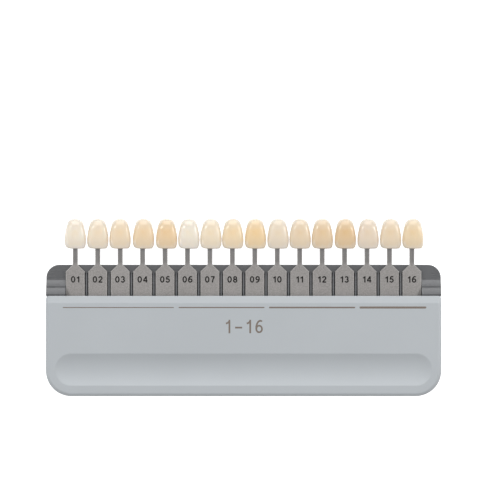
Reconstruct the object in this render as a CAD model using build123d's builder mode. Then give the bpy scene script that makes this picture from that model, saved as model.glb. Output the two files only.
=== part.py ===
from build123d import *
import math
import os

# A dental shade guide: a flat hand-held holder with a row of sample teeth, each bonded to its own
# pull-out metal tab. Sizes are in millimetres. X runs along the holder, Y up towards the teeth and
# Z out of the front face. The origin is the centre of the flat back face that the guide lies on.

# The row of tabs
tab_count = 16
tab_pitch = 10.0
tab_width = 8.4
tab_thickness = 1.4
tab_edge_bevel = 0.2
tab_foot_radius = 1.0
tab_side_clearance = 0.12
tab_face_clearance = 0.1
foot_clearance = 0.05
insertion_depth = 11.0
shoulder_height = 3.0
shoulder_radius = 3.0
neck_radius = 0.8
stem_width = 2.2
stem_length = 7.1
tongue_length = 6.0

# The holder
end_block_width = 8.68
holder_height = 58.5
body_thickness = 9.6
parting_height = 4.0
bottom_corner_radius = 11.4
top_corner_radius = 5.8
back_wall = 2.0
front_wall = 2.4
side_wall = 2.0
front_edge_radius = 1.6
back_edge_radius = 0.8
seam_edge_radius = 0.3
brow_height = 3.2
brow_drop = 0.6
brow_blend_radius = 8.0

# The finger groove across the front cover
groove_end_margin = 4.3
groove_width = 14.2
groove_depth = 1.2
groove_above_bottom = 11.9
groove_rim_radius = 1.2

# The rail that carries the tabs
rail_rise = 13.85
rail_thickness = 3.0
rail_edge_radius = 0.35
rail_end_gap = 4.0
stop_height = 2.0
rib_height = 1.0
rib_crest_width = 0.5
rib_setback = 0.6

# The stepped coves at both ends of the rail
cove_count = 2
cove_height = 2.6
cove_rise = 1.6
cove_hollow = 0.16
cove_land = 0.95
cove_edge_radius = 0.3

# The spring strip in front of the tabs
spring_thickness = 0.25
spring_from_seam = 1.4
leaf_width = 3.4
leaf_clearance = 0.05
leaf_root_length = 0.6
leaf_lip_length = 1.6
leaf_bend_radius = 1.0

# The pegs, sockets and lip that join the two covers
peg_columns = 4
peg_side_margin = 16.0
peg_rail_margin = 4.0
peg_lip_margin = 0.4
peg_diameter = 4.0
peg_clearance = 0.1
peg_end_clearance = 0.3
socket_wall = 1.4
socket_height = 2.8
lip_thickness = 1.0
lip_height = 1.2
lip_clearance = 0.1

# The sample teeth
tooth_height = 13.5
tooth_width = 9.5
labial_reach = 3.3
palatal_reach = 1.95
bond_gap = 0.03
section_points = 16
section_fullness = 2.4
neck_tip_setback = 0.3

# Each station along a tooth, from its biting edge to its neck: share of the height, share of the
# width, share of the reach in front of the tab's middle plane and share of the reach behind it
tooth_stations = (
    (0.000, 0.820, 0.395, 0.49),
    (0.060, 0.900, 0.490, 0.50),
    (0.150, 0.980, 0.620, 0.51),
    (0.340, 1.000, 0.825, 0.52),
    (0.550, 0.932, 0.955, 0.69),
    (0.750, 0.810, 1.000, 1.00),
    (0.885, 0.670, 0.835, 0.90),
    (0.960, 0.440, 0.560, 0.56),
)

# Places worked out from the sizes above
recess_half = ((tab_count - 1) * tab_pitch + tab_width) / 2 + tab_side_clearance
holder_width = 2 * (recess_half + end_block_width)
top_y = holder_height / 2
bottom_y = -holder_height / 2
seam_y = top_y - rail_rise
front_inner_z = body_thickness - front_wall
rail_front_z = back_wall + rail_thickness
tab_back_z = rail_front_z + tab_face_clearance
tab_front_z = tab_back_z + tab_thickness
tab_middle_z = (tab_back_z + tab_front_z) / 2
tab_foot_y = seam_y - insertion_depth
neck_y = top_y
shoulder_y = neck_y - shoulder_height
incisal_y = neck_y + stem_length
stop_top_y = tab_foot_y - foot_clearance
rail_bottom_y = stop_top_y - stop_height
rail_inner_width = holder_width - 2 * rail_end_gap
rib_width = tab_pitch - tab_width - 2 * tab_side_clearance
rib_top_y = shoulder_y - rib_setback
rib_flank_angle = math.degrees(math.atan2(2 * rib_height, rib_width - rib_crest_width))
cove_step = cove_height + cove_land
spring_back_z = front_inner_z - spring_thickness
spring_middle_z = front_inner_z - spring_thickness / 2
leaf_contact_z = tab_front_z + leaf_clearance + spring_thickness / 2
leaf_tip_y = seam_y - spring_from_seam
socket_radius = peg_diameter / 2 + peg_clearance
socket_outer_radius = socket_radius + socket_wall
upper_pegs_y = rail_bottom_y - peg_rail_margin - socket_outer_radius
lip_inner_y = bottom_y + side_wall + lip_clearance + lip_thickness
lower_pegs_y = lip_inner_y + peg_lip_margin + socket_outer_radius
peg_spacing = (holder_width - 2 * peg_side_margin) / (peg_columns - 1)
groove_y = bottom_y + groove_above_bottom
groove_radius = (groove_width**2 / 4 + groove_depth**2) / (2 * groove_depth)
groove_axis_z = body_thickness + groove_radius - groove_depth
groove_straight = holder_width - 2 * groove_end_margin - groove_width


def holder_outline(inset=0.0):
    """The holder's whole outline, drawn in by an inset."""
    with BuildSketch() as outline:
        Rectangle(holder_width - 2 * inset, holder_height - 2 * inset)
        fillet(outline.vertices().group_by(Axis.Y)[0], bottom_corner_radius - inset)
        fillet(outline.vertices().group_by(Axis.Y)[-1], top_corner_radius - inset)
    return outline.sketch


def outline_below_seam(inset=0.0):
    """The holder's outline where the two covers meet, below the seam."""
    with BuildSketch() as outline:
        add(holder_outline(inset))
        with Locations((0, seam_y)):
            Rectangle(
                holder_width,
                holder_height,
                align=(Align.CENTER, Align.MIN),
                mode=Mode.SUBTRACT,
            )
    return outline.sketch


def outline_above_seam():
    """The holder's outline where the rail shows, above the seam."""
    with BuildSketch() as outline:
        add(holder_outline())
        with Locations((0, seam_y)):
            Rectangle(
                holder_width,
                holder_height,
                align=(Align.CENTER, Align.MAX),
                mode=Mode.SUBTRACT,
            )
    return outline.sketch


def peg_circles(radius):
    """One circle at each peg."""
    with BuildSketch() as circles:
        with Locations((0, (lower_pegs_y + upper_pegs_y) / 2)):
            with GridLocations(peg_spacing, upper_pegs_y - lower_pegs_y, peg_columns, 2):
                Circle(radius)
    return circles.sketch


# The shape that the groove takes out of the front cover: a bar with round ends
with BuildPart() as groove:
    with Locations(Location((0, groove_y, groove_axis_z), (0, 90, 0))):
        Cylinder(groove_radius, groove_straight)
    with Locations((0, groove_y, groove_axis_z)):
        with GridLocations(groove_straight, 0, 2, 1):
            Sphere(groove_radius)

# Front cover: a shallow moulded tray with a sloping brow at its top edge and the finger groove
with BuildPart() as front_cover:
    with BuildSketch(Plane.XY.offset(parting_height)):
        add(outline_below_seam())
    extrude(amount=body_thickness - parting_height)
    with BuildSketch(Plane.YZ) as side_profile:
        with BuildLine():
            Polyline(
                (bottom_y, parting_height),
                (bottom_y, body_thickness),
                (seam_y - brow_height, body_thickness),
                (seam_y, body_thickness - brow_drop),
                (seam_y, parting_height),
                close=True,
            )
        make_face()
        upper_corners = side_profile.vertices().group_by(Axis.X)
        fillet(upper_corners[-1].sort_by(Axis.Y)[-1], seam_edge_radius)
        fillet(upper_corners[-2], brow_blend_radius)
    extrude(amount=holder_width / 2, both=True, mode=Mode.INTERSECT)
    front_edges = front_cover.edges().filter_by_position(
        Axis.Z, body_thickness - brow_drop - seam_edge_radius, body_thickness
    )
    across_edges = front_edges.filter_by(Axis.X).sort_by(Axis.Y)[1:]
    fillet(front_edges - across_edges, front_edge_radius)
    with BuildSketch(Plane.XY.offset(parting_height)):
        add(holder_outline(side_wall))
    extrude(amount=front_inner_z - parting_height, mode=Mode.SUBTRACT)
    add(groove.part, mode=Mode.SUBTRACT)
    groove_rim = front_cover.edges(Select.LAST).group_by(Axis.Z)[-1]
    fillet(groove_rim, groove_rim_radius)
    with BuildSketch(Plane.XY.offset(front_inner_z)):
        add(peg_circles(socket_outer_radius))
        add(peg_circles(socket_radius), mode=Mode.SUBTRACT)
    extrude(amount=-socket_height)
front_cover.part.label = "front_cover"

# Back cover: the flat shell that the guide lies on, with the pegs and a lip inside the front cover
with BuildPart() as back_cover:
    with BuildSketch():
        add(holder_outline())
    extrude(amount=back_wall)
    fillet(back_cover.faces().sort_by(Axis.Z)[0].edges(), back_edge_radius)
    with BuildSketch(Plane.XY.offset(back_wall)):
        add(outline_below_seam())
        add(holder_outline(side_wall), mode=Mode.SUBTRACT)
    extrude(amount=parting_height - back_wall)
    with BuildSketch(Plane.XY.offset(back_wall)):
        add(outline_below_seam(side_wall + lip_clearance))
        add(holder_outline(side_wall + lip_clearance + lip_thickness), mode=Mode.SUBTRACT)
    extrude(amount=parting_height + lip_height - back_wall)
    with BuildSketch(Plane.XY.offset(back_wall)):
        add(peg_circles(peg_diameter / 2))
    extrude(amount=front_inner_z - peg_end_clearance - back_wall)
back_cover.part.label = "back_cover"

# Rail: a plate behind the tabs, with a stop under their feet, a rib between each pair and a block
# with stepped coves at each end
with BuildPart() as tab_rail:
    with BuildSketch(Plane.XY.offset(back_wall)):
        add(outline_above_seam())
        with Locations((0, rail_bottom_y)):
            Rectangle(
                rail_inner_width,
                seam_y - rail_bottom_y,
                align=(Align.CENTER, Align.MIN),
            )
    extrude(amount=rail_thickness)
    with BuildSketch(Plane.YZ) as cove_profile:
        with BuildLine():
            cove_y = seam_y + cove_count * cove_step
            cove_z = rail_front_z
            for step in range(cove_count):
                SagittaArc(
                    (cove_y, cove_z),
                    (cove_y - cove_height, cove_z + cove_rise),
                    cove_hollow,
                )
                Line(
                    (cove_y - cove_height, cove_z + cove_rise),
                    (cove_y - cove_step, cove_z + cove_rise),
                )
                cove_y -= cove_step
                cove_z += cove_rise
            Polyline(
                (cove_y, cove_z),
                (seam_y, rail_front_z),
                (seam_y + cove_count * cove_step, rail_front_z),
            )
        make_face()
        cove_brinks = cove_profile.vertices().group_by(Axis.X)[1::2]
        fillet([brink for group in cove_brinks for brink in group], cove_edge_radius)
    extrude(amount=holder_width / 2, both=True)
    with BuildSketch(Plane.XY.offset(rail_front_z)):
        with Locations((0, seam_y)):
            Rectangle(2 * recess_half, rail_rise, align=(Align.CENTER, Align.MIN))
    extrude(amount=cove_count * cove_rise, mode=Mode.SUBTRACT)
    front_edges = tab_rail.edges().filter_by_position(Axis.Z, rail_front_z, body_thickness)
    inner_edges = front_edges.filter_by_position(
        Axis.X, -rail_inner_width / 2, rail_inner_width / 2
    )
    seam_edges = front_edges.filter_by_position(Axis.Y, bottom_y, seam_y)
    top_edge = tab_rail.faces().sort_by(Axis.Y)[-1].edges().sort_by(Axis.Z)[-1]
    fillet(front_edges - inner_edges - seam_edges + [top_edge], rail_edge_radius)
    with BuildSketch(Plane.XY.offset(rail_front_z)):
        with Locations((0, rail_bottom_y)):
            Rectangle(rail_inner_width, stop_height, align=(Align.CENTER, Align.MIN))
    extrude(amount=spring_back_z - rail_front_z)
    with BuildSketch(Plane.XY.offset(rail_front_z)):
        with Locations((0, stop_top_y)):
            Rectangle(
                rail_inner_width,
                seam_y - stop_top_y,
                align=(Align.CENTER, Align.MIN),
            )
            Rectangle(
                2 * recess_half,
                seam_y - stop_top_y,
                align=(Align.CENTER, Align.MIN),
                mode=Mode.SUBTRACT,
            )
    extrude(amount=rib_height)
    with BuildSketch(Plane.XZ.offset(-rib_top_y)):
        with Locations((0, rail_front_z)):
            with GridLocations(tab_pitch, 0, tab_count - 1, 1):
                Trapezoid(
                    rib_width,
                    rib_height,
                    rib_flank_angle,
                    align=(Align.CENTER, Align.MIN),
                )
    extrude(amount=rib_top_y - stop_top_y)
tab_rail.part.label = "tab_rail"

# One leaf of the spring strip, bowed back towards its tab
with BuildPart() as spring_leaf:
    with BuildSketch(Plane.YZ):
        with BuildLine():
            FilletPolyline(
                (rail_bottom_y, spring_middle_z),
                (stop_top_y + leaf_root_length, spring_middle_z),
                (leaf_tip_y - leaf_lip_length, leaf_contact_z),
                (leaf_tip_y, spring_middle_z),
                radius=leaf_bend_radius,
            )
        trace(line_width=spring_thickness)
    extrude(amount=leaf_width / 2, both=True)

# Spring strip: a thin comb clamped between the rail's stop and the front cover, one leaf to a tab
with BuildPart() as spring_strip:
    with BuildSketch(Plane.XY.offset(spring_back_z)):
        with Locations((0, rail_bottom_y)):
            Rectangle(2 * recess_half, stop_height, align=(Align.CENTER, Align.MIN))
    extrude(amount=spring_thickness)
    with GridLocations(tab_pitch, 0, tab_count, 1):
        add(spring_leaf.part)
spring_strip.part.label = "spring_strip"

# One carrier, cut from sheet metal: a handle with sloping shoulders, a stem, and a tongue that
# the tooth is bonded to
with BuildPart() as carrier:
    with BuildSketch(Plane.XY.offset(tab_back_z)) as carrier_outline:
        with BuildLine():
            Polyline(
                (0, tab_foot_y),
                (tab_width / 2, tab_foot_y),
                (tab_width / 2, shoulder_y),
                (stem_width / 2, neck_y),
                (stem_width / 2, incisal_y + tongue_length),
                (0, incisal_y + tongue_length),
            )
            mirror(about=Plane.YZ)
        make_face()
        foot, shoulder, neck = carrier_outline.vertices().group_by(Axis.Y)[:3]
        fillet(foot, tab_foot_radius)
        fillet(shoulder, shoulder_radius)
        fillet(neck, neck_radius)
    extrude(amount=tab_thickness)
    flat_faces = carrier.faces().filter_by(Axis.Z)
    chamfer(flat_faces.edges(), tab_edge_bevel)


def tooth_section(height_share, width_share, front_share, behind_share):
    """One cross-section of a tooth, fuller than an ellipse, at its place along the tooth."""
    points = []
    for step in range(section_points):
        angle = 2 * math.pi * step / section_points
        across = math.copysign(abs(math.cos(angle)) ** (2 / section_fullness), math.cos(angle))
        outward = math.copysign(abs(math.sin(angle)) ** (2 / section_fullness), math.sin(angle))
        if outward > 0:
            reach = front_share * labial_reach
        else:
            reach = behind_share * palatal_reach
        points.append((across * width_share * tooth_width / 2, outward * reach))
    height_y = incisal_y + height_share * tooth_height
    section_plane = Plane((0, height_y, tab_middle_z), x_dir=(1, 0, 0), z_dir=(0, -1, 0))
    with BuildSketch(section_plane) as section:
        with BuildLine():
            Spline(points, periodic=True)
        make_face()
    return section.sketch


# One sample tooth, like an upper front tooth hung by its biting edge, with a slot at the back for
# the carrier's tongue
with BuildPart() as sample_tooth:
    neck_tip = Vertex(0, incisal_y + tooth_height, tab_middle_z + neck_tip_setback)
    loft([tooth_section(*station) for station in tooth_stations] + [neck_tip])
    with BuildSketch(Plane.XY.offset(tab_front_z + bond_gap)):
        with Locations((0, incisal_y)):
            Rectangle(
                stem_width + 2 * bond_gap,
                2 * (tongue_length + bond_gap),
            )
    extrude(amount=-tooth_width, mode=Mode.SUBTRACT)

os.makedirs("parts", exist_ok=True)
for piece in (front_cover, back_cover, tab_rail, spring_strip):
    export_step(piece.part, f"parts/{piece.part.label}.step")

# The row of tabs: each carrier and each tooth is a piece of its own
for place, location in enumerate(GridLocations(tab_pitch, 0, tab_count, 1), start=1):
    for name, pattern in (("carrier", carrier), ("tooth", sample_tooth)):
        with BuildPart() as tab_piece:
            with Locations(location):
                add(pattern.part)
        tab_piece.part.label = f"{name}_{place:02d}"
        export_step(tab_piece.part, f"parts/{tab_piece.part.label}.step")
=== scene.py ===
import bpy
import bmesh
import math
import random
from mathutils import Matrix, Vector
from mathutils.geometry import delaunay_2d_cdt


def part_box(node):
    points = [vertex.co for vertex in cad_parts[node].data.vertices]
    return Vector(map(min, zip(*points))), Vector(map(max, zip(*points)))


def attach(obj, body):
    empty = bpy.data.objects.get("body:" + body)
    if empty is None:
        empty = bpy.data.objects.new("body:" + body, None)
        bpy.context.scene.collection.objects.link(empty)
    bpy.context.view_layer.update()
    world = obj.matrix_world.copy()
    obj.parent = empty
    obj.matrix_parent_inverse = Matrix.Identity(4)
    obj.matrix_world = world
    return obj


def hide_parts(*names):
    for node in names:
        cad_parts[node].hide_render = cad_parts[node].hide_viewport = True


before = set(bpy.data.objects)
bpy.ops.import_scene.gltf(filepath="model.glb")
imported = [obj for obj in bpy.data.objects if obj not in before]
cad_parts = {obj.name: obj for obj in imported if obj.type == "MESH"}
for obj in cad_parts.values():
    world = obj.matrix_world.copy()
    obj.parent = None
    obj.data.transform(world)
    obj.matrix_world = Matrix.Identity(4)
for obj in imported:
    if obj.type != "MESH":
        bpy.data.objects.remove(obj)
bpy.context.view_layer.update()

mm = 0.001
tabNames = [f"{number:02d}" for number in range(1, 17)]


# colours are given as they look on screen, 0 to 255, and turned into the linear values a shader wants
def colour(red, green, blue):
    def toLinear(value):
        value = value / 255
        return value / 12.92 if value <= 0.04045 else ((value + 0.055) / 1.055) ** 2.4
    return (toLinear(red), toLinear(green), toLinear(blue), 1.0)


def scaled(rgba, factor):
    return tuple(channel * factor for channel in rgba[:3]) + (1.0,)


# small helpers that keep the node setups short
class Tree:
    def __init__(self, name):
        self.material = bpy.data.materials.new(name)
        self.material.use_nodes = True
        self.nodes = self.material.node_tree.nodes
        self.links = self.material.node_tree.links
        self.shader = self.nodes["Principled BSDF"]
        self.place = self.add("ShaderNodeTexCoord").outputs["Object"]

    def add(self, kind, **settings):
        node = self.nodes.new(kind)
        for key, value in settings.items():
            setattr(node, key, value)
        return node

    def feed(self, node, socket, value):
        if isinstance(value, bpy.types.NodeSocket):
            self.links.new(value, node.inputs[socket])
        else:
            node.inputs[socket].default_value = value

    def noise(self, size, detail=2.0, stretch=(1, 1, 1), rough=0.5):
        mapping = self.add("ShaderNodeMapping")
        self.feed(mapping, "Vector", self.place)
        mapping.inputs["Scale"].default_value = [part / size for part in stretch]
        node = self.add("ShaderNodeTexNoise")
        self.feed(node, "Vector", mapping.outputs[0])
        node.inputs["Scale"].default_value = 1.0
        node.inputs["Detail"].default_value = detail
        node.inputs["Roughness"].default_value = rough
        return node.outputs["Fac"]

    def remap(self, value, low, high, outLow=0.0, outHigh=1.0, smooth=False):
        node = self.add("ShaderNodeMapRange")
        if smooth:
            node.interpolation_type = "SMOOTHSTEP"
        self.feed(node, "Value", value)
        self.feed(node, "From Min", low)
        self.feed(node, "From Max", high)
        self.feed(node, "To Min", outLow)
        self.feed(node, "To Max", outHigh)
        return node.outputs[0]

    def maths(self, operation, first, second=0.0):
        node = self.add("ShaderNodeMath", operation=operation)
        self.feed(node, 0, first)
        self.feed(node, 1, second)
        return node.outputs[0]

    def mix(self, factor, first, second):
        node = self.add("ShaderNodeMix", data_type="RGBA")
        self.feed(node, "Factor", factor)
        self.feed(node, "A", first)
        self.feed(node, "B", second)
        return node.outputs["Result"]

    def bump(self, height, strength, distance, normal=None):
        node = self.add("ShaderNodeBump")
        node.inputs["Strength"].default_value = strength
        node.inputs["Distance"].default_value = distance
        self.feed(node, "Height", height)
        if normal is not None:
            self.feed(node, "Normal", normal)
        return node.outputs[0]

    def axis(self, letter):
        node = self.add("ShaderNodeSeparateXYZ")
        self.feed(node, 0, self.place)
        return node.outputs[letter]

    # the way the surface faces, by axis
    def facing(self):
        node = self.add("ShaderNodeSeparateXYZ")
        self.feed(node, 0, self.add("ShaderNodeTexCoord").outputs["Normal"])
        return node.outputs

    # 1 on sharp outer edges, 0 on flat faces
    def edges(self, radius, gain):
        bevel = self.add("ShaderNodeBevel", samples=4)
        bevel.inputs["Radius"].default_value = radius
        geometry = self.add("ShaderNodeNewGeometry")
        dot = self.add("ShaderNodeVectorMath", operation="DOT_PRODUCT")
        self.feed(dot, 0, bevel.outputs[0])
        self.feed(dot, 1, geometry.outputs["Normal"])
        return self.remap(dot.outputs["Value"], 1.0 - gain, 1.0, 1.0, 0.0)


# a CAD node keeps its mesh and gets a new material
def dress(node, material):
    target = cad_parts[node]
    target.data.materials.clear()
    target.data.materials.append(material)


def meshFrom(build, name):
    mesh = bpy.data.meshes.new(name)
    build.to_mesh(mesh)
    build.free()
    return mesh


print("camera and light")

# the photo's frame and where the holder's middle sits in it, in its own pixels; lengths in mm
photo = {
    "widthPx": 484,
    "heightPx": 485,
    "mmPerPx": 0.4453,
    "holderMiddlePx": (243.6, 330.4),
    "scalePlane": 7.0,
    "distance": 1250.0,
    "sensor": 36.0,
}


def makeCamera():
    data = bpy.data.cameras.new("camera")
    camera = bpy.data.objects.new("camera", data)
    bpy.context.scene.collection.objects.link(camera)
    step = photo["mmPerPx"]
    x = (photo["widthPx"] / 2 - photo["holderMiddlePx"][0]) * step
    y = (photo["holderMiddlePx"][1] - photo["heightPx"] / 2) * step
    camera.location = (x * mm, y * mm, (photo["scalePlane"] + photo["distance"]) * mm)
    data.sensor_width = photo["sensor"]
    data.lens = data.sensor_width * photo["distance"] / (photo["heightPx"] * step)
    data.clip_start = 0.05
    data.clip_end = 20.0
    bpy.context.scene.camera = camera


# places and sizes in metres
lamps = {
    "above": {"at": (0.0, 0.85, 0.85), "size": (1.5, 1.0), "watts": 7.8},
    "leftBox": {"at": (-0.78, -0.34, 0.50), "size": (0.26, 0.26), "watts": 1.0},
    "leftHigh": {"at": (-0.60, 0.16, 0.72), "size": (0.18, 0.28), "watts": 0.7},
    "rightBox": {"at": (0.78, 0.12, 0.50), "size": (0.28, 0.46), "watts": 1.9},
}
lampAim = (0.0, 0.02, 0.0)


def makeLamps():
    for name, lamp in lamps.items():
        data = bpy.data.lights.new(name, "AREA")
        data.shape = "RECTANGLE"
        data.size, data.size_y = lamp["size"]
        data.energy = lamp["watts"]
        light = bpy.data.objects.new(name, data)
        bpy.context.scene.collection.objects.link(light)
        light.location = lamp["at"]
        toObject = Vector(lampAim) - light.location
        light.rotation_mode = "QUATERNION"
        light.rotation_quaternion = toObject.to_track_quat("-Z", "Y")


surround = {
    "glow": 0.45,
    "floorGlow": 0.86,
    "floorGrey": 0.8,
    "floorRoughness": 0.9,
    "floorSize": 3.0,
    "floorDrop": 0.00005,
}


# 1 for what the camera sees straight, in gloss or through a clear thing
def seenDirectly(nodes, links):
    path = nodes.new("ShaderNodeLightPath")
    first = nodes.new("ShaderNodeMath")
    first.operation = "MAXIMUM"
    links.new(path.outputs["Is Camera Ray"], first.inputs[0])
    links.new(path.outputs["Is Glossy Ray"], first.inputs[1])
    second = nodes.new("ShaderNodeMath")
    second.operation = "MAXIMUM"
    links.new(first.outputs[0], second.inputs[0])
    links.new(path.outputs["Is Transmission Ray"], second.inputs[1])
    return second.outputs[0]


def makeSurround():
    world = bpy.data.worlds.new("studio")
    world.use_nodes = True
    nodes, links = world.node_tree.nodes, world.node_tree.links
    background = nodes["Background"]
    background.inputs["Color"].default_value = (1, 1, 1, 1)
    strength = nodes.new("ShaderNodeMapRange")
    links.new(seenDirectly(nodes, links), strength.inputs["Value"])
    strength.inputs["To Min"].default_value = surround["glow"]
    strength.inputs["To Max"].default_value = 1.0
    links.new(strength.outputs[0], background.inputs["Strength"])
    bpy.context.scene.world = world

    half = surround["floorSize"] / 2
    mesh = bpy.data.meshes.new("floor")
    corners = [(-half, -half, 0), (half, -half, 0), (half, half, 0), (-half, half, 0)]
    mesh.from_pydata(corners, [], [(0, 1, 2, 3)])
    floor = bpy.data.objects.new("floor", mesh)
    floor.location.z = -surround["floorDrop"]
    bpy.context.scene.collection.objects.link(floor)
    material = bpy.data.materials.new("floorWhite")
    material.use_nodes = True
    nodes, links = material.node_tree.nodes, material.node_tree.links
    plain = nodes["Principled BSDF"]
    grey = surround["floorGrey"]
    plain.inputs["Base Color"].default_value = (grey, grey, grey, 1)
    plain.inputs["Roughness"].default_value = surround["floorRoughness"]
    glow = nodes.new("ShaderNodeEmission")
    links.new(seenDirectly(nodes, links), glow.inputs["Strength"])
    level = surround["floorGlow"]
    glow.inputs["Color"].default_value = (level, level, level, 1)
    both = nodes.new("ShaderNodeAddShader")
    links.new(plain.outputs[0], both.inputs[0])
    links.new(glow.outputs[0], both.inputs[1])
    links.new(both.outputs[0], nodes["Material Output"].inputs["Surface"])
    mesh.materials.append(material)


makeCamera()
makeLamps()
makeSurround()
bpy.context.scene.view_settings.view_transform = "Standard"


print("covers and rail")

# the cover's edge that the tabs stand out of, and its front face
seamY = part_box("front_cover")[1].y
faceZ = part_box("front_cover")[1].z

cover = {
    "colour": colour(181, 186, 190),
    "clouds": 24 * mm,
    "grain": 0.35 * mm,
    "grainDepth": 0.02 * mm,
    "edgeWearAndSheen": 0.35,
    "roughness": 0.46,
    # how far a slope leans, and the painted shade and painted light given to slopes facing down and up at
    # that lean
    "tilt": 0.32,
    "shadedSlopes": 0.88,
    "litSlopes": 1.10,
}


def coverPlastic():
    tree = Tree("coverPlastic")
    tone = cover["colour"]
    cloud = tree.remap(tree.noise(cover["clouds"], 3.0), 0.3, 0.7)
    grain = tree.noise(cover["grain"], 3.0)
    base = tree.mix(cloud, scaled(tone, 0.985), scaled(tone, 1.015))
    base = tree.mix(tree.remap(grain, 0.3, 0.7, 0.0, 0.35), base, scaled(tone, 0.97))
    # edges lighter: worn edges and painted highlight where they catch light
    wornAndLitEdges = tree.edges(0.25 * mm, 0.25)
    base = tree.mix(tree.maths("MULTIPLY", wornAndLitEdges, cover["edgeWearAndSheen"]), base, scaled(tone, 1.12))

    # painted light and shade: slopes facing up are lighter and slopes facing down darker, as if lit from
    # above
    tilt = cover["tilt"]
    lean = tree.remap(tree.facing()["Y"], -tilt, tilt, cover["shadedSlopes"], cover["litSlopes"])
    slopeLight = tree.add("ShaderNodeVectorMath", operation="SCALE")
    tree.feed(slopeLight, 0, base)
    tree.feed(slopeLight, "Scale", lean)
    tree.feed(tree.shader, "Base Color", slopeLight.outputs["Vector"])
    rough = cover["roughness"]
    tree.feed(tree.shader, "Roughness", tree.remap(cloud, 0, 1, rough - 0.04, rough + 0.05))
    tree.feed(tree.shader, "Normal", tree.bump(grain, 0.25, cover["grainDepth"]))
    return tree.material


rail = {
    "colour": colour(90, 91, 93),
    "clouds": 9 * mm,
    "streaks": 0.5 * mm,
    "edgeWearAndSheen": 0.12,
    "roughness": 0.24,
    # painted light on the end blocks' slopes and in the pockets, and how dark the painted shade line along
    # the seam is
    "paintedLightSlopes": 1.42,
    "paintedLightPockets": 1.4,
    "seamShade": 0.5,
}


def railPlastic():
    tree = Tree("railPlastic")
    tone = rail["colour"]
    cloud = tree.remap(tree.noise(rail["clouds"], 3.0), 0.3, 0.7)
    streaks = tree.remap(tree.noise(rail["streaks"], 3.0, stretch=(0.05, 1, 1)), 0.35, 0.65)
    base = tree.mix(cloud, scaled(tone, 0.94), scaled(tone, 1.06))
    # edges lighter: worn edges and painted highlight where they catch light
    wornAndLitEdges = tree.edges(0.2 * mm, 0.3)
    base = tree.mix(tree.maths("MULTIPLY", wornAndLitEdges, rail["edgeWearAndSheen"]), base, scaled(tone, 1.4))

    # painted light on the end blocks' upward slopes and in the pockets between the tabs, and a painted shade
    # line along the seam
    facing = tree.facing()
    paintedLightSlopes = tree.remap(facing["Y"], 0.25, 0.45, 0, 1, True)
    paintedLightSlopes = tree.maths("MULTIPLY", paintedLightSlopes, tree.remap(facing["Z"], 0.5, 0.7, 0, 1, True))
    base = tree.mix(paintedLightSlopes, base, scaled(tone, rail["paintedLightSlopes"]))
    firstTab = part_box("carrier_01")[0].x
    aside = tree.maths("ABSOLUTE", tree.axis("X"))
    paintedLightPockets = tree.remap(aside, -firstTab - 0.3 * mm, -firstTab, 1, 0)
    belowTop = tree.remap(tree.axis("Y"), seamY + 8 * mm, seamY + 10 * mm, 1, 0, True)
    paintedLightPockets = tree.maths("MULTIPLY", paintedLightPockets, belowTop)
    base = tree.mix(paintedLightPockets, base, scaled(tone, rail["paintedLightPockets"]))
    line = tree.remap(tree.axis("Y"), seamY + 0.15 * mm, seamY + 0.75 * mm, rail["seamShade"], 0, True)
    base = tree.mix(line, base, scaled(tone, 0.3))
    tree.feed(tree.shader, "Base Color", base)
    rough = tree.remap(cloud, 0, 1, rail["roughness"] - 0.03, rail["roughness"] + 0.06)
    rough = tree.maths("ADD", rough, tree.remap(streaks, 0, 1, 0.0, 0.05))
    tree.feed(tree.shader, "Roughness", rough)
    tree.feed(tree.shader, "Normal", tree.bump(streaks, 0.05, 0.01 * mm))
    return tree.material


spring = {"colour": colour(150, 150, 152), "roughness": 0.3, "rollMarks": 0.3 * mm}


def springSteel():
    tree = Tree("springSteel")
    tone, rough = spring["colour"], spring["roughness"]
    rolled = tree.remap(tree.noise(spring["rollMarks"], 3.0, stretch=(0.04, 1, 1)), 0.3, 0.7)
    tree.feed(tree.shader, "Base Color", tree.mix(rolled, scaled(tone, 0.9), tone))
    tree.shader.inputs["Metallic"].default_value = 1.0
    tree.feed(tree.shader, "Roughness", tree.remap(rolled, 0, 1, rough, rough + 0.12))
    return tree.material


coverMaterial = coverPlastic()
dress("front_cover", coverMaterial)
dress("back_cover", coverMaterial)
dress("tab_rail", railPlastic())
dress("spring_strip", springSteel())


print("carriers")

carrier = {
    "colour": colour(142, 139, 137),
    "rim": colour(205, 204, 201),
    "stem": colour(118, 116, 115),
    "blast": 0.30 * mm,
    "blastDepth": 0.03 * mm,
    "mottle": 0.6 * mm,
    "patches": 13 * mm,
    "edgeWearAndSheen": 0.55,
    "roughness": 0.5,
    "metallic": 0.7,
    "cornerWidth": 1.9 * mm,
    "cornerHeight": 4.6 * mm,
    "cornerShadow": 0.5,
}


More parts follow.
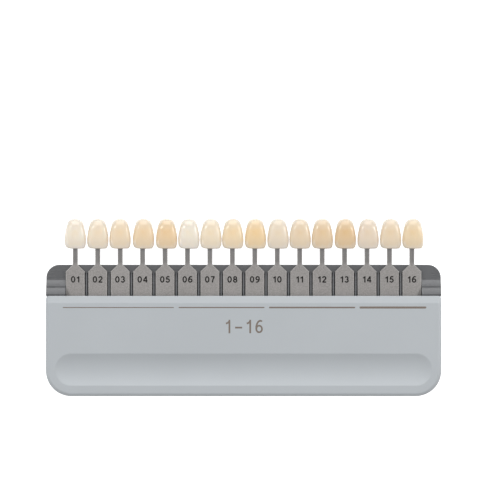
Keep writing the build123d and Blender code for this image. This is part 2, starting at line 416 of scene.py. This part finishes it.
def blastedMetal():
    tree = Tree("blastedMetal")
    fine = tree.noise(carrier["blast"], 3.0, rough=0.65)
    coarse = tree.noise(carrier["mottle"], 2.0)
    patches = tree.remap(tree.noise(carrier["patches"], 1.0), 0.35, 0.65)
    brushed = tree.noise(0.3 * mm, 2.0, stretch=(1, 0.05, 1))
    tone = carrier["colour"]
    base = tree.mix(patches, scaled(tone, 0.94), scaled(tone, 1.07))
    base = tree.mix(tree.remap(fine, 0.3, 0.7), scaled(tone, 0.74), base)
    base = tree.mix(tree.remap(coarse, 0.35, 0.65, 0.0, 0.6), base, scaled(tone, 1.2))

    # the stem is bare brushed metal, darker than the blasted handle
    bareTone = carrier["stem"]
    neckY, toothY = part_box("tab_rail")[1].y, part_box("tooth_01")[0].y
    bare = tree.remap(tree.axis("Y"), neckY - 0.6 * mm, neckY + 1.6 * mm, 0, 1, True)
    stem = tree.mix(tree.remap(brushed, 0.3, 0.7), scaled(bareTone, 0.92), scaled(bareTone, 1.12))
    # painted shadow: the stem darkens just below the tooth
    shadowUnderTooth = tree.remap(tree.axis("Y"), toothY - 1.6 * mm, toothY, 0, 0.45)
    stem = tree.mix(shadowUnderTooth, stem, scaled(bareTone, 0.55))
    base = tree.mix(bare, base, stem)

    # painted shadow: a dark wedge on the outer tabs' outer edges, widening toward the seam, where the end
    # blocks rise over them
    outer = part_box("carrier_16")[1].x
    rise = tree.remap(tree.axis("Y"), seamY, seamY + carrier["cornerHeight"], carrier["cornerWidth"], 0)
    inward = tree.maths("SUBTRACT", outer, tree.maths("ABSOLUTE", tree.axis("X")))
    inside = tree.maths("SUBTRACT", inward, rise)
    nearEdge = tree.remap(inside, -0.5 * mm, 0.5 * mm, carrier["cornerShadow"], 0, True)
    wedgeShadow = tree.maths("MULTIPLY", nearEdge, tree.remap(rise, 0, 0.5 * mm))
    base = tree.mix(wedgeShadow, base, scaled(tone, 0.3))

    # edges lighter toward the rim tone: worn bare metal and painted highlight where the chamfers catch light
    wornAndLitEdges = tree.edges(0.35 * mm, 0.07)
    base = tree.mix(tree.maths("MULTIPLY", wornAndLitEdges, carrier["edgeWearAndSheen"]), base, carrier["rim"])
    tree.feed(tree.shader, "Base Color", base)
    tree.shader.inputs["Metallic"].default_value = carrier["metallic"]
    rough = tree.remap(fine, 0.3, 0.7, carrier["roughness"] - 0.06, carrier["roughness"] + 0.1)
    smoother = tree.maths("MULTIPLY", bare, -0.12)
    tree.feed(tree.shader, "Roughness", tree.maths("ADD", rough, smoother))
    tree.feed(tree.shader, "Normal", tree.bump(fine, 0.35, carrier["blastDepth"]))
    return tree.material


carrierMaterial = blastedMetal()
for name in tabNames:
    dress(f"carrier_{name}", carrierMaterial)


print("teeth")

# lengths in mm
tooth = {
    "height": 13.5,
    "width": 9.62,
    "labialReach": 3.3,
    "palatalReach": 1.95,
    "fullness": 2.4,
    "trim": 0.996,
    "neckTipSetback": 0.3,
    # share of the height, of the width, of the reach in front and of the reach behind
    "stations": [
        (0.000, 0.800, 0.395, 0.49),
        (0.060, 0.915, 0.490, 0.50),
        (0.150, 0.980, 0.620, 0.51),
        (0.340, 1.000, 0.825, 0.52),
        (0.550, 0.932, 0.955, 0.69),
        (0.750, 0.820, 1.000, 1.00),
        (0.885, 0.690, 0.835, 0.90),
        (0.960, 0.460, 0.560, 0.56),
        (1.000, 0.000, 0.000, 0.00),
    ],
    "segments": 72,
    "rings": 54,
    # how much the rings crowd to the two ends, and how much they spread evenly
    "ringSpread": (0.72, 0.28),
    "edgeRounding": 0.55,
    "cornerRounding": 0.22,
    "cornerPower": 3.4,
    "distalRise": 0.42,
    "mesialRise": 0.12,
    # middle and width of each form on the front face: two across it, two along it
    "lobes": [(-0.34, 0.15), (0.30, 0.14)],
    "ridges": [(-0.76, 0.13), (0.74, 0.12)],
    "collar": (0.895, 0.022),
    "dish": (0.46, 0.10),
    "lobeDepth": 0.10,
    "ridgeHeight": 0.13,
    "collarDepth": 0.07,
    "dishDepth": 0.06,
    "slotWidth": 2.26,
    "slotHeight": 6.03,
    "slotFront": 0.73,
    # how far each tooth was bonded to the right of its stem's middle
    "aside": [0, 0, 0, 0.38, 0.70, 0.58, 0.42, 0.22, 0.33, 0.36, 0.20, 0.12, 0.36, 0.52, 0.54, 0.48],
    # how much one tooth differs from the next, drawn in this order
    "seed": 7,
    "vary": {"lobes": (0.6, 1.2), "ridges": (0.9, 1.25), "corner": (0.85, 1.15), "dish": (0.5, 1.5)},
    "varySize": (0.992, 1.0),
    "varyLean": (-0.5, 0.5),
}


# 0 up to low, 1 from high on, and a soft step between them
def smooth(low, high, value):
    share = min(1.0, max(0.0, (value - low) / (high - low)))
    return share * share * (3 - 2 * share)


# 1 at its centre, falling softly to 0
def hump(value, centre, width):
    return math.exp(-(((value - centre) / width) ** 2))


# a smooth curve through the stations gives the width and the two reaches at any height
# it runs through their squares, nearly straight to the neck, which keeps its end round
def stationShares(along):
    rows = tooth["stations"]
    last = len(rows) - 1
    below = max(k for k in range(last) if rows[k][0] <= along or k == 0)
    span = rows[below + 1][0] - rows[below][0]
    share = (along - rows[below][0]) / span
    squared, cubed = share**2, share**3
    result = []
    for column in (1, 2, 3):
        values = [row[column] ** 2 for row in rows]

        def slope(k):
            before, after = max(k - 1, 0), min(k + 1, last)
            return (values[after] - values[before]) / (rows[after][0] - rows[before][0])

        value = (
            values[below] * (2 * cubed - 3 * squared + 1)
            + slope(below) * span * (cubed - 2 * squared + share)
            + values[below + 1] * (3 * squared - 2 * cubed)
            + slope(below + 1) * span * (cubed - squared)
        )
        result.append(math.sqrt(max(0.0, value)))
    return result


def toothPoint(along, angle, habit):
    widthShare, frontShare, behindShare = stationShares(along)
    halfWidth = widthShare * tooth["width"] / 2
    power = 2 / tooth["fullness"]
    cosine, sine = math.cos(angle), math.sin(angle)
    across = math.copysign(abs(cosine) ** power, cosine)
    outward = math.copysign(abs(sine) ** power, sine)
    front, behind = frontShare * tooth["labialReach"], behindShare * tooth["palatalReach"]

    # the biting edge is rounded over
    up = along * tooth["height"]
    rounding = tooth["edgeRounding"]
    inset = 0.0
    if up < rounding:
        inset = rounding - math.sqrt(rounding**2 - (rounding - up) ** 2)
    halfWidth = halfWidth - inset * tooth["cornerRounding"] / rounding
    reach = (front if outward > 0 else behind) - inset
    x = across * halfWidth
    z = outward * reach + tooth["neckTipSetback"] * smooth(0.75, 1.0, along)

    # grooves between lobes, marginal ridges, a collar at the neck and a slight dish, on the front only
    onFront = smooth(0.05, 0.6, outward)
    lobes = sum(hump(across, *lobe) for lobe in tooth["lobes"])
    lobes *= smooth(0.04, 0.22, along) * (1 - smooth(0.45, 0.8, along))
    ridges = sum(hump(across, *ridge) for ridge in tooth["ridges"])
    ridges *= smooth(0.05, 0.25, along) * (1 - smooth(0.6, 0.85, along))
    z -= onFront * tooth["lobeDepth"] * habit["lobes"] * lobes
    z += onFront * tooth["ridgeHeight"] * habit["ridges"] * ridges
    z -= onFront * tooth["collarDepth"] * hump(along - 0.05 * across**2, *tooth["collar"])
    z -= onFront * tooth["dishDepth"] * habit["dish"] * hump(along, *tooth["dish"]) * (1 - across**2)

    # the biting edge sweeps up to its two corners, more to the left one
    rise = tooth["distalRise"] * habit["corner"] if across < 0 else tooth["mesialRise"]
    y = up + rise * abs(across) ** tooth["cornerPower"] * (1 - smooth(0.0, 0.30, along))
    return Vector((x + habit["aside"], y, z))


def toothMesh(name, habit):
    segments, rings = tooth["segments"], tooth["rings"]
    # rings crowd together at the biting edge and at the neck
    crowded, even = tooth["ringSpread"]
    alongs = [0.5 - 0.5 * math.cos(math.pi * ring / rings) for ring in range(rings)]
    alongs = [crowded * value + even * ring / rings for ring, value in enumerate(alongs)]
    angles = [2 * math.pi * k / segments for k in range(segments)]
    build = bmesh.new()
    loops = [[build.verts.new(toothPoint(along, angle, habit)) for angle in angles] for along in alongs]
    for lower, upper in zip(loops, loops[1:]):
        for k in range(segments):
            after = (k + 1) % segments
            build.faces.new((lower[k], lower[after], upper[after], upper[k]))
    tip = build.verts.new((habit["aside"], tooth["height"], tooth["neckTipSetback"]))
    for k in range(segments):
        build.faces.new((loops[-1][k], loops[-1][(k + 1) % segments], tip))
    # the underside of the biting edge, in shrinking rings
    inner = loops[0]
    middle = sum((vertex.co for vertex in inner), Vector()) / segments
    for shrink in (0.8, 0.5):
        ring = []
        for vertex in loops[0]:
            spot = middle.lerp(vertex.co, shrink)
            spot.y = vertex.co.y * shrink**2 - 0.02 * (1 - shrink)
            ring.append(build.verts.new((spot.x, max(0.0, spot.y), spot.z)))
        for k in range(segments):
            after = (k + 1) % segments
            build.faces.new((ring[k], ring[after], inner[after], inner[k]))
        inner = ring
    bottom = build.verts.new((middle.x, 0.0, middle.z))
    for k in range(segments):
        build.faces.new((inner[(k + 1) % segments], inner[k], bottom))
    bmesh.ops.recalc_face_normals(build, faces=build.faces)
    bmesh.ops.scale(build, vec=(mm, mm, mm), verts=build.verts)
    mesh = meshFrom(build, name)
    for face in mesh.polygons:
        face.use_smooth = True
    return mesh


# cuts the slot for the metal tongue out of the back
def cutSlot(piece):
    half, high = tooth["slotWidth"] / 2 * mm, tooth["slotHeight"] * mm
    front, back = tooth["slotFront"] * mm, -5 * mm
    mesh = bpy.data.meshes.new("slotCutter")
    corners = [(x, y, z) for x in (-half, half) for y in (-1 * mm, high) for z in (back, front)]
    sides = [(0, 1, 3, 2), (4, 6, 7, 5), (0, 4, 5, 1), (2, 3, 7, 6), (0, 2, 6, 4), (1, 5, 7, 3)]
    mesh.from_pydata(corners, [], sides)
    cutter = bpy.data.objects.new("slotCutter", mesh)
    bpy.context.scene.collection.objects.link(cutter)
    cut = piece.modifiers.new("slot", "BOOLEAN")
    cut.operation = "DIFFERENCE"
    cut.solver = "EXACT"
    cut.object = cutter
    graph = bpy.context.evaluated_depsgraph_get()
    graph.update()
    result = bpy.data.meshes.new_from_object(piece.evaluated_get(graph))
    piece.modifiers.clear()
    old = piece.data
    piece.data = result
    bpy.data.meshes.remove(old)
    bpy.data.objects.remove(cutter)


# four families of shades, each from its palest to its deepest tone
shades = [
    {"count": 5, "pale": (247, 236, 219), "deep": (241, 211, 168)},
    {"count": 4, "pale": (247, 238, 223), "deep": (246, 216, 168)},
    {"count": 4, "pale": (240, 225, 203), "deep": (230, 198, 153)},
    {"count": 3, "pale": (236, 219, 198), "deep": (240, 217, 180)},
]
enamel = {
    # the tone that each zone leans to, and how far it leans from the tooth's own
    "zones": {
        "low": ((200, 180, 150), 0.2),
        "edge": ((225, 217, 211), 0.5),
        "neck": ((236, 219, 192), 0.22),
        "rim": ((227, 221, 209), 0.75),
        "side": ((218, 208, 192), 0.7),
    },
    "neckShade": 0.94,
    "strands": 0.32 * mm,
    "clouds": 2.2 * mm,
    "roughness": 0.19,
    "scatter": 0.3,
    "scatterColour": (1.0, 0.85, 0.65),
    "scatterDepth": 0.5 * mm,
    "glaze": {"Coat Weight": 1.0, "Coat Roughness": 0.1, "Coat IOR": 1.6},
}


def blendTone(first, second, share):
    return tuple(a + (b - a) * share for a, b in zip(first, second))


def toothCeramic(name, tone, aside):
    tree = Tree(name)
    body = colour(*tone)
    rich = colour(*blendTone(tone, (tone[0] - 2, tone[1] - 8, tone[2] - 18), 0.8))
    zone = {part: colour(*blendTone(tone, *lean)) for part, lean in enamel["zones"].items()}
    up, across = tree.axis("Y"), tree.axis("X")
    across = tree.maths("SUBTRACT", across, aside * mm)
    wide = tree.maths("ABSOLUTE", tree.maths("DIVIDE", across, tooth["width"] / 2 * mm))
    high = tree.maths("DIVIDE", up, tooth["height"] * mm)

    # a richer heart, and fine upright strands in the layers
    heart = tree.remap(wide, 0.15, 0.7, 1, 0, True)
    heart = tree.maths("MULTIPLY", heart, tree.remap(high, 0.2, 0.5, 0, 1, True))
    heart = tree.maths("MULTIPLY", heart, tree.remap(high, 0.55, 0.75, 1, 0.1, True))
    strands = tree.remap(tree.noise(enamel["strands"], 2.0, stretch=(1, 0.09, 0.4)), 0.3, 0.7)
    cloud = tree.remap(tree.noise(enamel["clouds"], 3.0), 0.3, 0.7)
    base = tree.mix(tree.maths("MULTIPLY", heart, tree.remap(cloud, 0, 1, 0.6, 1.0)), body, rich)
    base = tree.mix(tree.remap(strands, 0, 1, 0.0, 0.16), base, scaled(body, 1.07))

    # greyer toward the biting edge and paler toward the neck
    base = tree.mix(tree.remap(high, 0.08, 0.58, 1, 0, True), base, zone["low"])
    # the neck tone is a little darker: painted shade that tempers the light falling on the upward-facing
    # neck
    neckTone = scaled(zone["neck"], enamel["neckShade"])
    base = tree.mix(tree.remap(high, 0.58, 0.80, 0, 1, True), base, neckTone)

    # the clear biting edge ends in an uneven line, higher at the sides
    waver = tree.remap(tree.noise(1.1 * mm, 2.0, stretch=(1, 0.35, 1)), 0.3, 0.7, -0.04, 0.04)
    line = tree.maths("ADD", waver, tree.remap(wide, 0.45, 1.0, 0.0, -0.18, True))
    line = tree.maths("ADD", high, line)
    base = tree.mix(tree.remap(line, 0.02, 0.16, 0.8, 0.0, True), base, zone["edge"])

    # a pale clear rim round the neck
    rim = tree.maths("ADD", high, tree.remap(wide, 0.25, 0.8, 0.0, 0.22))
    base = tree.mix(tree.remap(rim, 0.84, 1.02, 0.0, 0.9, True), base, zone["rim"])

    # the sides turn greyer where the layers thin out
    base = tree.mix(tree.remap(tree.facing()["Z"], 0.2, 0.9, 0.75, 0.0, True), base, zone["side"])
    tree.feed(tree.shader, "Base Color", base)

    rough = enamel["roughness"]
    tree.feed(tree.shader, "Roughness", tree.remap(cloud, 0, 1, rough - 0.04, rough + 0.08))
    tree.shader.inputs["Subsurface Weight"].default_value = enamel["scatter"]
    tree.shader.inputs["Subsurface Radius"].default_value = enamel["scatterColour"]
    tree.shader.inputs["Subsurface Scale"].default_value = enamel["scatterDepth"]
    for socket, value in enamel["glaze"].items():
        tree.shader.inputs[socket].default_value = value
    growth = tree.noise(0.5 * mm, 2.0, stretch=(0.25, 1.3, 0.25))
    lively = tree.bump(growth, 0.10, 0.03 * mm)
    tree.feed(tree.shader, "Normal", tree.bump(strands, 0.12, 0.012 * mm, lively))
    return tree.material


def makeTeeth():
    tones = []
    for family in shades:
        for step in range(family["count"]):
            tones.append(blendTone(family["pale"], family["deep"], step / (family["count"] - 1)))
    chance = random.Random(tooth["seed"])
    for name, tone, aside in zip(tabNames, tones, tooth["aside"]):
        habit = {"aside": aside}
        for part, limits in tooth["vary"].items():
            habit[part] = chance.uniform(*limits)
        size = chance.uniform(*tooth["varySize"])
        lean = math.radians(chance.uniform(*tooth["varyLean"]))
        low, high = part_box(f"tooth_{name}")
        tabLow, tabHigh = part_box(f"carrier_{name}")
        piece = bpy.data.objects.new(f"toothCrown_{name}", toothMesh(f"toothCrown_{name}", habit))
        bpy.context.scene.collection.objects.link(piece)
        cutSlot(piece)
        for vertex in piece.data.vertices:
            vertex.co.x *= size
            vertex.co.y *= tooth["trim"]
        piece.location = ((low.x + high.x) / 2, low.y, (tabLow.z + tabHigh.z) / 2)
        piece.rotation_euler.z = lean
        piece.data.materials.clear()
        piece.data.materials.append(toothCeramic(f"toothCeramic_{name}", tone, aside))
        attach(piece, f"tab_{name}")
        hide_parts(f"tooth_{name}")


makeTeeth()


print("print on the metal and the cover")

# stroke and spacing are shares of the height, and widen stretches the figures sideways
numeral = {
    "height": 2.8 * mm,
    "stroke": 0.21,
    "spacing": 0.19,
    "widen": 1.2,
    "aboveSeam": 7.3 * mm,
    "ink": colour(16, 14, 13),
    "film": 0.012 * mm,
}
groupLine = {
    "belowSeam": 5.15 * mm,
    "ink": colour(118, 108, 100),
    "film": 0.006 * mm,
    # left end, right end and thickness, in mm
    "runs": [(-80.4, -31.0, 0.40), (-28.9, 9.3, 0.53), (11.3, 49.6, 0.71), (51.5, 81.2, 0.93)],
}
heading = {
    "text": "1-16",
    "height": 6.0 * mm,
    "stroke": 0.13,
    "spacing": 0.26,
    "widen": 1.0,
    "centre": (0.3 * mm, 1.8 * mm),
}


def printInk(name, tone):
    tree = Tree(name)
    patchy = tree.remap(tree.noise(0.25 * mm, 3.0), 0.3, 0.75)
    tree.feed(tree.shader, "Base Color", tree.mix(patchy, tone, scaled(tone, 1.3)))
    tree.feed(tree.shader, "Roughness", tree.remap(patchy, 0, 1, 0.42, 0.6))
    tree.shader.inputs["Specular IOR Level"].default_value = 0.25
    tree.feed(tree.shader, "Normal", tree.bump(patchy, 0.15, 0.01 * mm))
    return tree.material


# points along part of an ellipse, its two ends in degrees
def arc(centreX, centreY, radiusX, radiusY, first, last):
    steps = 18
    turns = [math.radians(first + (last - first) * step / steps) for step in range(steps + 1)]
    return [(centreX + radiusX * math.cos(turn), centreY + radiusY * math.sin(turn)) for turn in turns]


# the middle lines of each figure's strokes, in a box one unit high; the number is its width
wholeTurn = (0, 360)
figures = {
    "0": (0.58, [arc(0.29, 0.5, 0.215, 0.425, *wholeTurn)]),
    "1": (0.40, [[(0.29, 0.0), (0.29, 1.0)], [(0.30, 0.92), (0.19, 0.78), (0.03, 0.72)]]),
    "2": (0.58, [arc(0.285, 0.70, 0.205, 0.225, 175, -35) + [(0.09, 0.10)], [(0.03, 0.075), (0.54, 0.075)]]),
    "3": (0.58, [arc(0.27, 0.715, 0.18, 0.21, 160, -88), arc(0.27, 0.295, 0.21, 0.22, 88, -162)]),
    "4": (0.60, [[(0.42, 0.0), (0.42, 1.0)], [(0.42, 0.97), (0.06, 0.32)], [(0.02, 0.28), (0.58, 0.28)]]),
    "5": (
        0.58,
        [
            [(0.51, 0.925), (0.17, 0.925)],
            [(0.175, 0.94), (0.115, 0.47)],
            arc(0.27, 0.33, 0.215, 0.255, 138, -160),
        ],
    ),
    "6": (
        0.58,
        [
            arc(0.29, 0.32, 0.21, 0.245, *wholeTurn),
            arc(0.39, 0.40, 0.31, 0.53, 185, 92) + arc(0.37, 0.80, 0.13, 0.13, 85, 25),
        ],
    ),
    "7": (0.56, [[(0.04, 0.925), (0.54, 0.925)], [(0.49, 0.93), (0.33, 0.55), (0.22, 0.0)]]),
    "8": (0.58, [arc(0.29, 0.725, 0.175, 0.20, *wholeTurn), arc(0.29, 0.29, 0.21, 0.215, *wholeTurn)]),
    "9": (
        0.58,
        [
            arc(0.29, 0.68, 0.21, 0.245, *wholeTurn),
            arc(0.19, 0.60, 0.31, 0.53, 5, -88) + arc(0.21, 0.20, 0.13, 0.13, 265, 205),
        ],
    ),
    "-": (0.62, [[(0.05, 0.42), (0.57, 0.42)]]),
}


# four-cornered pieces that follow a line at an even width
def ribbon(path, stroke):
    last = len(path) - 1
    closed = math.dist(path[0], path[last]) < 1e-6
    sides = []
    for k, point in enumerate(path):
        before, after = path[max(k - 1, 0)], path[min(k + 1, last)]
        if closed and k in (0, last):
            before, after = path[-2], path[1]
        along = Vector((after[0] - before[0], after[1] - before[1])).normalized()
        aside = Vector((-along.y, along.x)) * stroke / 2
        sides.append((Vector(point) + aside, Vector(point) - aside))
    return [(first[0], first[1], second[1], second[0]) for first, second in zip(sides, sides[1:])]


# figures printed as a thin film of ink, its underside on the surface that carries it
def writtenFilm(name, text, style, film, material):
    pieces, left = [], 0.0
    for figure in text:
        width, paths = figures[figure]
        for path in paths:
            pieces += ribbon([(x * style["widen"] + left, y) for x, y in path], style["stroke"])
        left += width * style["widen"] + style["spacing"]
    middle = (left - style["spacing"]) / 2
    corners = [Vector(corner) for piece in pieces for corner in piece]
    faces = [list(range(4 * k, 4 * k + 4)) for k in range(len(pieces))]
    # one clean sheet out of the overlapping pieces: its points, its cells and what each cell came from
    flat = delaunay_2d_cdt(corners, [], faces, 0, 1e-5, True)
    spots, cells, sources = flat[0], flat[2], flat[5]
    build = bmesh.new()
    high = style["height"]
    points = [build.verts.new(((spot.x - middle) * high, (spot.y - 0.5) * high, 0.0)) for spot in spots]
    sheet = [build.faces.new([points[k] for k in cell]) for cell, source in zip(cells, sources) if source]
    loose = [vertex for vertex in build.verts if not vertex.link_faces]
    bmesh.ops.delete(build, geom=loose, context="VERTS")
    raised = bmesh.ops.extrude_face_region(build, geom=sheet)["geom"]
    for vertex in [part for part in raised if isinstance(part, bmesh.types.BMVert)]:
        vertex.co.z = film
    bmesh.ops.recalc_face_normals(build, faces=build.faces)
    mesh = meshFrom(build, name)
    mesh.materials.append(material)
    return mesh


# puts a printed film on what carries it
def place(name, mesh, spot, body):
    piece = bpy.data.objects.new(name, mesh)
    bpy.context.scene.collection.objects.link(piece)
    piece.location = spot
    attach(piece, body)


# a line with round ends
def lineFilm(name, length, thickness, film, material):
    build = bmesh.new()
    radius, straight = thickness / 2, (length - thickness) / 2
    steps = 12
    rim = []
    for side in (1, -1):
        for step in range(steps + 1):
            angle = math.pi * (step / steps - 0.5)
            rim.append((side * (straight + radius * math.cos(angle)), side * radius * math.sin(angle)))
    loops = [[build.verts.new((x, y, z)) for x, y in rim] for z in (0.0, film)]
    build.faces.new(list(reversed(loops[0])))
    build.faces.new(loops[1])
    for k in range(len(rim)):
        after = (k + 1) % len(rim)
        build.faces.new((loops[0][k], loops[0][after], loops[1][after], loops[1][k]))
    mesh = meshFrom(build, name)
    mesh.materials.append(material)
    return mesh


numeralInk = printInk("numeralInk", numeral["ink"])
for name in tabNames:
    low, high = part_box(f"carrier_{name}")
    mesh = writtenFilm(f"numeral_{name}", name, numeral, numeral["film"], numeralInk)
    spot = ((low.x + high.x) / 2, seamY + numeral["aboveSeam"], high.z)
    place(f"numeral_{name}", mesh, spot, f"tab_{name}")

coverInk = printInk("coverInk", groupLine["ink"])
for number, (left, right, thickness) in enumerate(groupLine["runs"], start=1):
    name = f"groupLine_{number}"
    mesh = lineFilm(name, (right - left) * mm, thickness * mm, groupLine["film"], coverInk)
    spot = ((left + right) / 2 * mm, seamY - groupLine["belowSeam"], faceZ)
    place(name, mesh, spot, "holder")
mesh = writtenFilm("heading", heading["text"], heading, groupLine["film"], coverInk)
place("heading", mesh, (*heading["centre"], faceZ), "holder")
